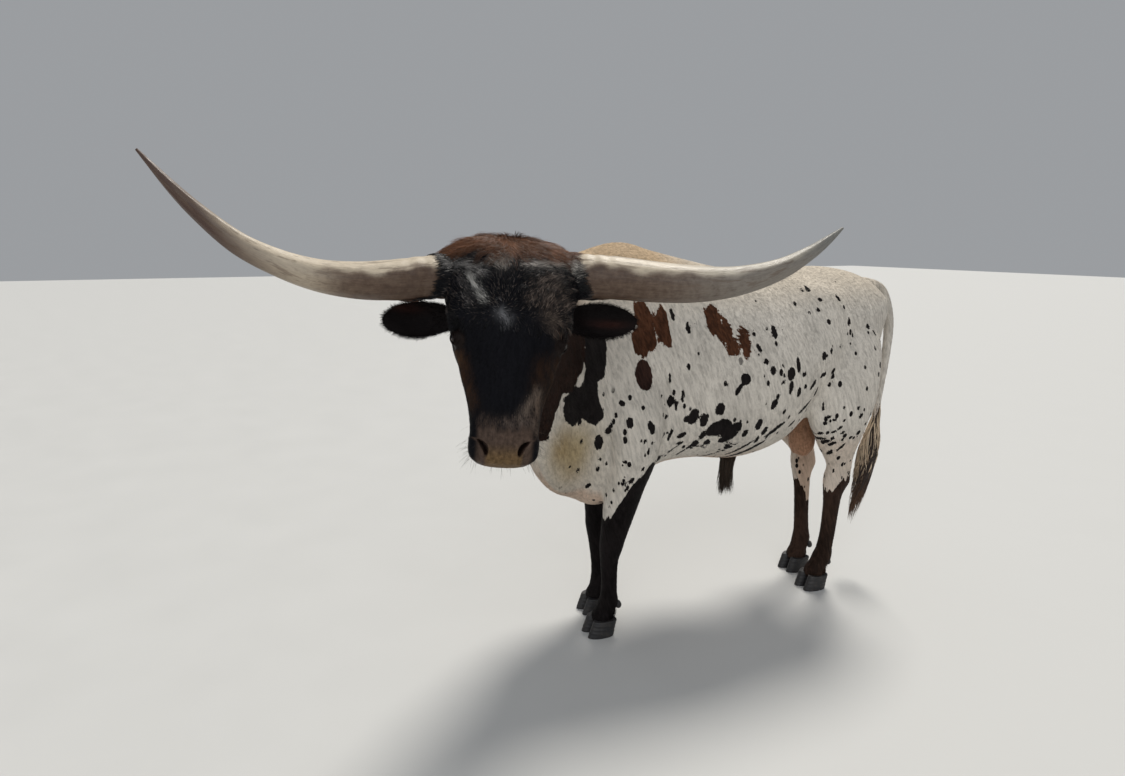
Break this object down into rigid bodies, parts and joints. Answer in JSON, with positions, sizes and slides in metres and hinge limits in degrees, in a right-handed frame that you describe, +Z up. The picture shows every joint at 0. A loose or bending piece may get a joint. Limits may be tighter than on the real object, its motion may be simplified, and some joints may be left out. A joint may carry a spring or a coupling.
{
  "type": "texas longhorn bull",
  "caption": "Life-size longhorn bull standing square on its hooves, head turned to its left, with long upswept horns and a spotted short coat.",
  "frame": {"origin": "on the floor under the middle of the box round the whole animal, horns included", "axes": "+Z up; the trunk points along -Y, so +Y is towards the tail; +X is the animal's left, the side its head is turned to"},
  "size_m": [1.1378, 2.8264, 1.6925],
  "materials": {
    "spotted_coat": "short flat white hair with brown-black spots",
    "dark_coat": "short brown-black hair with a faint sheen",
    "switch_hair": "long coarse hair, cream to ginger brown",
    "bare_skin": "thin short-haired skin, matt",
    "horn": "worn horn, satin, streaked along its length",
    "hoof": "dark dry horn, dull with growth rings",
    "eye": "wet dark eye, clear gloss"
  },
  "bodies": {
    "root": {"trunk": "spotted_coat", "neck": "spotted_coat", "eye_left": "eye", "ear_left": "dark_coat", "horn_left": "horn", "eye_right": "eye", "ear_right": "dark_coat", "horn_right": "horn", "head": "dark_coat", "lower_jaw": "dark_coat", "foreleg_left_upper": "spotted_coat", "foreleg_left_lower": "dark_coat", "forehoof_left_outer": "hoof", "forehoof_left_inner": "hoof", "foreleg_right_upper": "spotted_coat", "foreleg_right_lower": "dark_coat", "forehoof_right_outer": "hoof", "forehoof_right_inner": "hoof", "hindleg_left_upper": "spotted_coat", "hindleg_left_lower": "dark_coat", "hindhoof_left_outer": "hoof", "hindhoof_left_inner": "hoof", "hindleg_right_upper": "spotted_coat", "hindleg_right_lower": "dark_coat", "hindhoof_right_outer": "hoof", "hindhoof_right_inner": "hoof", "tail": "spotted_coat", "tail_switch": "switch_hair", "scrotum": "bare_skin", "sheath": "dark_coat"}
  },
  "joints": []
}
